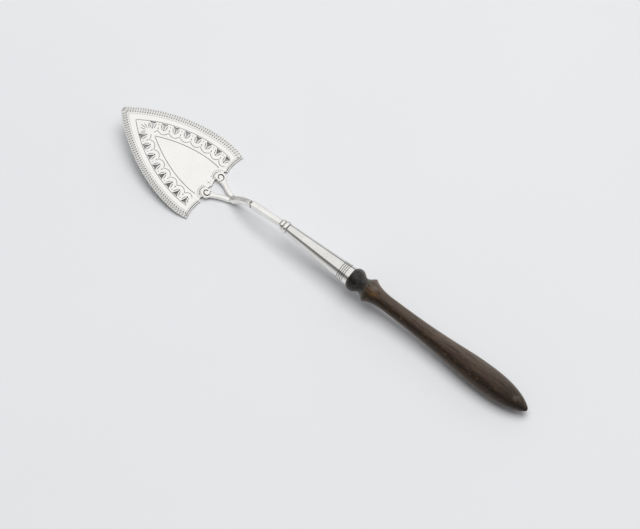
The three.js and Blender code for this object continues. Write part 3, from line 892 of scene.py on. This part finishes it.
# Socket: a tapered cone of silver sheet, seamed and soldered, solid at its narrow end. Four fine grooves were
# turned near its mouth, and a hole is drilled through its underside for the pin.
socket_start = 4.5
socket_tip = 2.8
socket_mouth = 5.2
socket_wall = 0.8
socket_floor = 11.5
mouth_at = 45.2
groove_count = 4
groove_step = 1.1
groove_width = 0.34
groove_depth = 0.2
groove_shape = ((-0.5, 0), (-0.2, 1), (0.2, 1), (0.5, 0))
mouth_band = 2.9
lip_rounding = 0.2
pin_at = 31.8
pin_radius = 0.8
pin_play = 0.15
pin_past_axis = 1.5
drill_clearance = 1.0
drill_dome = 0.1
dome_angles = [math.radians(15 * k) for k in range(6)]


def socket_radius(along):
    return socket_tip + (socket_mouth - socket_tip) * (along - socket_start) / (mouth_at - socket_start)


def socket_profile():
    points = [
        (socket_start, ring_bore),
        (socket_start, socket_tip - lip_rounding),
        (socket_start + lip_rounding, socket_radius(socket_start + lip_rounding)),
    ]
    for i in reversed(range(groove_count)):
        middle = mouth_at - mouth_band - i * groove_step
        for aside, depth in groove_shape:
            along = middle + aside * groove_width
            points.append((along, socket_radius(along) - depth * groove_depth))
    points += [
        (mouth_at - lip_rounding, socket_radius(mouth_at - lip_rounding)),
        (mouth_at, socket_mouth - lip_rounding),
        (mouth_at, socket_mouth - socket_wall),
        (socket_floor, socket_radius(socket_floor) - socket_wall),
        (socket_floor, ring_bore),
        (socket_start, ring_bore),
    ]
    return points


def upright_rod(radius, bottom, top, dome):
    """A rod across the handle's axis at the pin's place, with a domed lower end."""
    crown = [(bottom - dome * math.sin(a), radius * math.cos(a)) for a in dome_angles]
    mesh = turned([(bottom - dome, 0)] + crown[::-1] + [(top, radius), (top, 0)], steps=32)
    upright = Matrix.Rotation(-math.pi / 2, 4, "Y")
    bmesh.ops.transform(mesh, matrix=Matrix.Translation((pin_at, 0, 0)) @ upright, verts=mesh.verts)
    return mesh


def drilled(mesh):
    bottom = -socket_mouth - drill_clearance
    return carve(mesh, upright_rod(pin_radius + pin_play, bottom, pin_past_axis + pin_play, drill_dome))


socket_silver = silver(
    "socket_silver", bright=(0.82, 0.81, 0.79, 1), dull=(0.76, 0.75, 0.72, 1), tarnish_and_shade=(0.2, 0.19, 0.17, 1),
    smoothest=0.15, roughest=0.23, corner_reach=0.5,
)
socket = turned(socket_profile(), steps=96)
for face in socket.faces:
    middle = face.calc_center_median()
    inset = socket_radius(middle.x) - math.hypot(middle.y, middle.z)
    if groove_depth / 4 < inset < socket_wall / 2 and middle.x < mouth_at - mouth_band / 2:
        face.material_index = finishes.index("graver_cut")
socket_piece = made("tapered_socket", drilled(socket), along_axis, [socket_silver, graver_cut], sharp_from=25)
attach(socket_piece, "root")
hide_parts("socket_cone")

# Pitch: poured hot into the socket to bed the tenon. It is dull, brown-black and hidden inside, so the plain
# plug stays as it is and only gets its finish.
pitch_dark = (0.012, 0.009, 0.007, 1)
pitch_pale = (0.035, 0.026, 0.019, 1)
pitch_cloud_range = (0.3, 0.7)
pitch_roughness = (0.6, 0.85)
pitch, pitch_tree, pitch_shader, pitch_place = blank_finish("set_pitch")
pitch_cloud = noise(pitch_tree, pitch_place, scale=600.0, detail=4.0)
pitch_tone = mixed(pitch_tree, pitch_cloud, pitch_dark, pitch_pale)
pitch_dullness = ranged(pitch_tree, pitch_cloud, *pitch_cloud_range, *pitch_roughness)
pitch_tree.links.new(pitch_tone, pitch_shader.inputs["Base Color"])
pitch_tree.links.new(pitch_dullness, pitch_shader.inputs["Roughness"])
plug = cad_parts["pitch_plug"]
plug.data.materials.clear()
plug.data.materials.append(pitch)

# Handle: dark hardwood turned on a lathe, with a bulb, a throat, a flare with a narrow land, a cove and a
# long swell to a bluntly pointed butt. Its tenon is bedded in the socket. It is oiled, and has gone grey
# about the bulb. Its side toward the light is painted paler, broken along the grain, which is painted light.
# A dark band along its lower front is partly figure and partly painted shade, and two pale spots are painted
# highlights.
handle_length = 109.7
seam = 0.3
tenon_end = 18.4
bulb = (2.6, 6.15)
throat = (7.0, 4.2)
flare = (11.0, 6.6)
flare_land = 0.5
waist = (22.9, 4.0)
belly = (84.9, 6.88)
butt = 0.7
butt_easing = 0.1
quarter_round = 0.55
bulb_ease = 0.5
throat_ease = 0.33
cove_ease = 0.33
waist_ease = 0.6
belly_ease = 0.29
ogive_ease = 0.37
ogive_fullness = 0.785


def turned_curve(points, count):
    """A cubic or quadratic curve through (distance from the mouth, radius) points, without its end."""
    corners = [point(along + mouth_at, radius) for along, radius in points]
    curve = interpolate_bezier(*corners, count) if len(corners) == 4 else quadratic(*corners, count)
    return [(p.x, p.y) for p in curve[:-1]]


def handle_profile():
    shoulder = mouth_at + seam
    tenon = [(tenon_end, 0)] + [
        (along, socket_radius(along) - socket_wall - seam) for along in (tenon_end, shoulder)
    ]
    bulb_rise = [
        (seam, socket_mouth),
        (seam, between(socket_mouth, bulb[1], quarter_round)),
        (between(bulb[0], seam, quarter_round), bulb[1]),
        bulb,
    ]
    bulb_fall = [
        bulb,
        (between(bulb[0], throat[0], bulb_ease), bulb[1]),
        (between(throat[0], bulb[0], throat_ease), throat[1]),
        throat,
    ]
    land = [(flare[0] + side * flare_land / 2, flare[1]) for side in (-1, 1)]
    flare_rise = [throat, (between(throat[0], flare[0], throat_ease), throat[1]), land[0]]
    cove = [land[1], (between(flare[0], waist[0], cove_ease), waist[1]), waist]
    swell = [
        waist,
        (between(waist[0], belly[0], waist_ease), waist[1]),
        (between(belly[0], waist[0], belly_ease), belly[1]),
        belly,
    ]
    ogive = [
        belly,
        (between(belly[0], handle_length, ogive_ease), belly[1]),
        (between(belly[0], handle_length, ogive_fullness), between(butt, belly[1], ogive_fullness)),
        (handle_length, butt),
    ]
    turnings = ((bulb_rise, 12), (bulb_fall, 16), (flare_rise, 12), (cove, 24), (swell, 48), (ogive, 40))
    outside = [p for points, count in turnings for p in turned_curve(points, count)]
    end = mouth_at + handle_length
    return tenon + outside + [(end - butt_easing, butt), (end, butt / 2), (end, 0)]


streak_range = (0.36, 0.66)
dark_streak = (0.013, 0.007, 0.0035, 1)
pale_streak = (0.056, 0.032, 0.018, 1)
figure_range = (0.42, 0.66)
figure_strength = 0.5
pale_figure = (0.085, 0.06, 0.043, 1)
dark_figure_and_shade = (0.007, 0.004, 0.0025, 1)
shade_band_way = math.radians(46)
shade_band_wander = 6.0
shade_band_reach = (0.2, 3.2)
shade_band_strength = 0.75
fleck_range = (0.58, 0.72)
fleck_strength = 0.6
amber_fleck = (0.2, 0.105, 0.045, 1)
pore_range = (0.34, 0.42)
pore_strength = 0.75
pore_bump = 0.35
pore_depth = 0.0001
dark_pore = (0.01, 0.007, 0.005, 1)
grey_stretch = (8, 11.5)
blotch_range = (0.4, 0.62)
black_bulb = (0.004, 0.004, 0.0035, 1)
grey_bulb = (0.03, 0.029, 0.026, 1)
light_way = (0, 0.8, 0.6)
painted_light_reach = (0.1, 1.0)
painted_light_strength = 0.85
painted_light_streak_range = (0.35, 0.6)
painted_light_least = 0.35
bulb_painted_light = 0.7
painted_lit_wood = (0.135, 0.108, 0.09, 1)
painted_lit_bulb = (0.108, 0.108, 0.1, 1)
butt_stretch = (80, 98)
butt_strength = 0.5
dark_butt = (0.01, 0.006, 0.004, 1)
satin_range = (0.35, 0.7)
wood_roughness = (0.34, 0.48)
bulb_polish = 0.85
spot_squash = (0.5, 1, 1)
spot_ragged = 6.0
wear_and_highlight_spots = (
    ((15.0, -3.6, 3.2), 2.8, 0.7, (0.008, 0.004, 0.003, 1)),
    ((14.6, -1.9, 4.7), 2.4, 0.75, (0.13, 0.072, 0.026, 1)),
    # Painted highlight on the cove's upper side.
    ((12.8, 0.6, 5.6), 2.2, 0.5, (0.22, 0.19, 0.155, 1)),
    # Painted highlight along the butt's ridge.
    ((102.6, 0.2, 3.7), 1.8, 0.7, (0.15, 0.135, 0.12, 1)),
)


def oiled_wood():
    material, tree, shader, place = blank_finish("oiled_wood")
    lathe = measured(tree, place, axis_start, along_axis)
    along_lathe = wire(tree, "ShaderNodeSeparateXYZ", {"Vector": lathe}).outputs["X"]

    def grain(along, across, detail, seed):
        """Noise with these scales along and across the handle."""
        inputs = {"Vector": lathe, "Scale": (along, across, across), "Location": seed}
        stretched = wire(tree, "ShaderNodeMapping", inputs).outputs["Vector"]
        return noise(tree, stretched, scale=1.0, detail=detail, roughness=0.6)

    def stretch(start, end, to_start, to_end):
        """A mask that changes along the handle, between two distances from the socket's mouth."""
        return ranged(tree, along_lathe, mouth_at + start, mouth_at + end, to_start, to_end)

    streaks = grain(along=0.035, across=0.75, detail=5.0, seed=(0, 0, 0))
    figure = grain(along=0.02, across=0.16, detail=2.0, seed=(7, 3, 1))
    pores = grain(along=0.22, across=3.4, detail=2.0, seed=(2, 8, 5))
    flecks = grain(along=0.5, across=1.5, detail=2.0, seed=(4, 1, 9))
    blotches = grain(along=0.35, across=0.5, detail=3.0, seed=(5, 2, 8))
    wood = mixed(tree, ranged(tree, streaks, *streak_range, 0, 1), dark_streak, pale_streak)
    wood = mixed(tree, ranged(tree, figure, *figure_range, 0, figure_strength), wood, pale_figure)

    # Painted shade with dark figure: a wandering dark band along the lower front of the handle, fixed in
    # place.
    across_shade_band = vector_math(tree, "DOT_PRODUCT", lathe, (0, math.cos(shade_band_way), math.sin(shade_band_way)))
    wander = number_math(tree, "SUBTRACT", figure, 0.5)
    off_shade_band = number_math(tree, "MULTIPLY_ADD", wander, shade_band_wander, across_shade_band)
    from_shade_band = number_math(tree, "ABSOLUTE", off_shade_band)
    wood = mixed(tree, ranged(tree, from_shade_band, *shade_band_reach, shade_band_strength, 0), wood, dark_figure_and_shade)
    wood = mixed(tree, ranged(tree, flecks, *fleck_range, 0, fleck_strength), wood, amber_fleck)

    by_bulb = stretch(*grey_stretch, 1, 0)
    rubbed = mixed(tree, ranged(tree, blotches, *blotch_range, 0, 1), black_bulb, grey_bulb)
    wood = mixed(tree, by_bulb, wood, rubbed)

    # Painted light: the side of the handle toward the light is painted paler, broken along the grain, less on
    # the bulb.
    radial = vector_math(tree, "NORMALIZE", vector_math(tree, "MULTIPLY", lathe, (0, 1, 1)))
    to_light = vector_math(tree, "DOT_PRODUCT", radial, light_way)
    lit_side = ranged(tree, to_light, *painted_light_reach, 0, painted_light_strength)
    by_streak = ranged(tree, streaks, *painted_light_streak_range, painted_light_least, 1)
    painted_light = number_math(tree, "MULTIPLY", lit_side, by_streak)
    painted_light = number_math(tree, "MULTIPLY", painted_light, ranged(tree, by_bulb, 0, 1, 1, bulb_painted_light))
    wood = mixed(tree, painted_light, wood, mixed(tree, by_bulb, painted_lit_wood, painted_lit_bulb))
    wood = mixed(tree, ranged(tree, pores, *pore_range, pore_strength, 0), wood, dark_pore)
    wood = mixed(tree, stretch(*butt_stretch, 0, butt_strength), wood, dark_butt)

    # Spots painted on the flare and the butt; the two pale ones are painted highlights.
    for (from_mouth, aside, above), size, strength, colour in wear_and_highlight_spots:
        from_spot = vector_math(tree, "SUBTRACT", lathe, (mouth_at + from_mouth, aside, above))
        reach = vector_math(tree, "LENGTH", vector_math(tree, "MULTIPLY", from_spot, spot_squash))
        ragged = number_math(tree, "MULTIPLY_ADD", streaks, -spot_ragged, reach)
        inside = ranged(tree, ragged, -spot_ragged / 2, size - spot_ragged / 2, strength, 0)
        wood = mixed(tree, inside, wood, colour)

    tree.links.new(wood, shader.inputs["Base Color"])
    shader.inputs["Specular IOR Level"].default_value = 0.14
    shader.inputs["Sheen Weight"].default_value = 0.55
    shader.inputs["Sheen Roughness"].default_value = 0.45
    shader.inputs["Sheen Tint"].default_value = (0.62, 0.55, 0.48, 1)
    satin = ranged(tree, streaks, *satin_range, *wood_roughness)
    satin = number_math(tree, "MULTIPLY", satin, ranged(tree, by_bulb, 0, 1, 1, bulb_polish))
    tree.links.new(satin, shader.inputs["Roughness"])
    depth = number_math(tree, "ADD", pores, streaks)
    pitted = {"Strength": pore_bump, "Distance": pore_depth, "Height": depth}
    bump = wire(tree, "ShaderNodeBump", pitted)
    tree.links.new(bump.outputs["Normal"], shader.inputs["Normal"])
    return material


handle = drilled(turned(handle_profile(), steps=96))
handle_piece = made("hardwood_handle", handle, along_axis, [oiled_wood()], sharp_from=40)
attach(handle_piece, "root")
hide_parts("turned_handle")

# Pin: a silver peg driven up through the socket's underside into the tenon, so that the handle can't turn or
# draw out. Its end is filed to a low dome.
pin_dome = 0.15
pin = upright_rod(pin_radius, -socket_radius(pin_at) + pin_dome, pin_past_axis, pin_dome)
pin_piece = made("silver_pin", pin, along_axis, [forged_silver], sharp_from=40)
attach(pin_piece, "root")
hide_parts("handle_pin")

# Studio: a pale floor, one soft box high over the spade that throws the shadow, and a tent all round that
# the silver mirrors: pale above, dark low in front, and grey beyond the blade's tip. The camera has the
# photograph's angle and framing.
floor_size = 8.0
paper_grey = (0.79, 0.8, 0.81, 1)
paper_white = (0.82, 0.83, 0.84, 1)
floor_mesh = bmesh.new()
bmesh.ops.create_grid(floor_mesh, x_segments=1, y_segments=1, size=floor_size)
paper, paper_tree, paper_shader, paper_place = blank_finish("pale_paper")
paper_shader.inputs["Roughness"].default_value = 0.9
paper_fibre = noise(paper_tree, paper_place, scale=9.0, detail=3.0)
paper_tone = mixed(paper_tree, paper_fibre, paper_grey, paper_white)
paper_tree.links.new(paper_tone, paper_shader.inputs["Base Color"])
floor = made("floor", floor_mesh, Matrix.Identity(4), [paper])

tent_top = Vector((0, 0.26, 0.97)).normalized()
tent_tones = ((0.0, 0.42), (0.05, 0.3), (0.15, 0.12), (0.4, 0.12), (0.58, 0.98))
beyond_tip_tones = ((0.0, 0.4), (0.3, 0.46), (0.55, 0.6), (0.8, 0.98))
beyond_tip_reach = (-0.3, -0.6)
fill_reach = (-0.8, 0.8)
fill_in_front = (0.2, 0.2, 0.21, 1)
fill_behind = (0.55, 0.55, 0.56, 1)
backdrop = (0.85, 0.86, 0.87, 1)
sky = bpy.data.worlds.new("studio")
bpy.context.scene.world = sky
sky.use_nodes = True
sky_tree = sky.node_tree
sky_way = wire(sky_tree, "ShaderNodeTexCoord", {}).outputs["Generated"]
sky_axes = wire(sky_tree, "ShaderNodeSeparateXYZ", {"Vector": sky_way}).outputs


def graded(height, tones):
    """A grey that changes with height in the tent, through these pairs of height and tone."""
    ramp = wire(sky_tree, "ShaderNodeValToRGB", {"Fac": height})
    for i, (at, tone) in enumerate(tones):
        stop = ramp.color_ramp.elements[i] if i < 2 else ramp.color_ramp.elements.new(at)
        stop.position = at
        stop.color = (tone, tone, tone, 1)
    return ramp.outputs["Color"]


tent = graded(vector_math(sky_tree, "DOT_PRODUCT", sky_way, tent_top), tent_tones)
beyond_tip = ranged(sky_tree, sky_axes["X"], *beyond_tip_reach, 0, 1)
tent = mixed(sky_tree, beyond_tip, tent, graded(sky_axes["Z"], beyond_tip_tones))
behind = ranged(sky_tree, sky_axes["Y"], *fill_reach, 0, 1)
fill = mixed(sky_tree, behind, fill_in_front, fill_behind)
ray = wire(sky_tree, "ShaderNodeLightPath", {}).outputs
sky_tone = mixed(sky_tree, ray["Is Glossy Ray"], fill, tent)
sky_tone = mixed(sky_tree, ray["Is Camera Ray"], sky_tone, backdrop)
sky_tree.links.new(sky_tone, sky_tree.nodes["Background"].inputs["Color"])

box_way = Vector((-0.03, 0.18, 0.98)).normalized()
box_distance = 1.8
box_size = 1.35
box_radiance = 4.2


def looking_back(way, distance, target):
    """The place of a lamp or camera at this distance along a direction, turned to face the target."""
    return Matrix.Translation(target + distance * way) @ way.to_track_quat("Z", "Y").to_matrix().to_4x4()


lamp = bpy.data.lights.new("soft_box", "AREA")
lamp.shape = "SQUARE"
lamp.size = box_size
lamp.energy = math.pi * box_size * box_size * box_radiance
soft_box = bpy.data.objects.new("soft_box", lamp)
soft_box.matrix_world = looking_back(box_way, box_distance, Vector())
soft_box.visible_glossy = False
bpy.context.scene.collection.objects.link(soft_box)

camera_azimuth = math.radians(38.95)
camera_elevation = math.radians(63.87)
camera_distance = 1.3
camera_target = Vector((-0.05, 0.09, 0)) * millimetre
camera_way = Vector((
    math.sin(camera_azimuth) * math.cos(camera_elevation),
    -math.cos(camera_azimuth) * math.cos(camera_elevation),
    math.sin(camera_elevation),
))
lens = bpy.data.cameras.new("photograph")
lens.lens = 145.4
lens.sensor_width = 36.0
lens.sensor_fit = "HORIZONTAL"
camera = bpy.data.objects.new("photograph", lens)
camera.matrix_world = looking_back(camera_way, camera_distance, camera_target)
bpy.context.scene.collection.objects.link(camera)
bpy.context.scene.camera = camera
bpy.context.scene.view_settings.view_transform = "Standard"
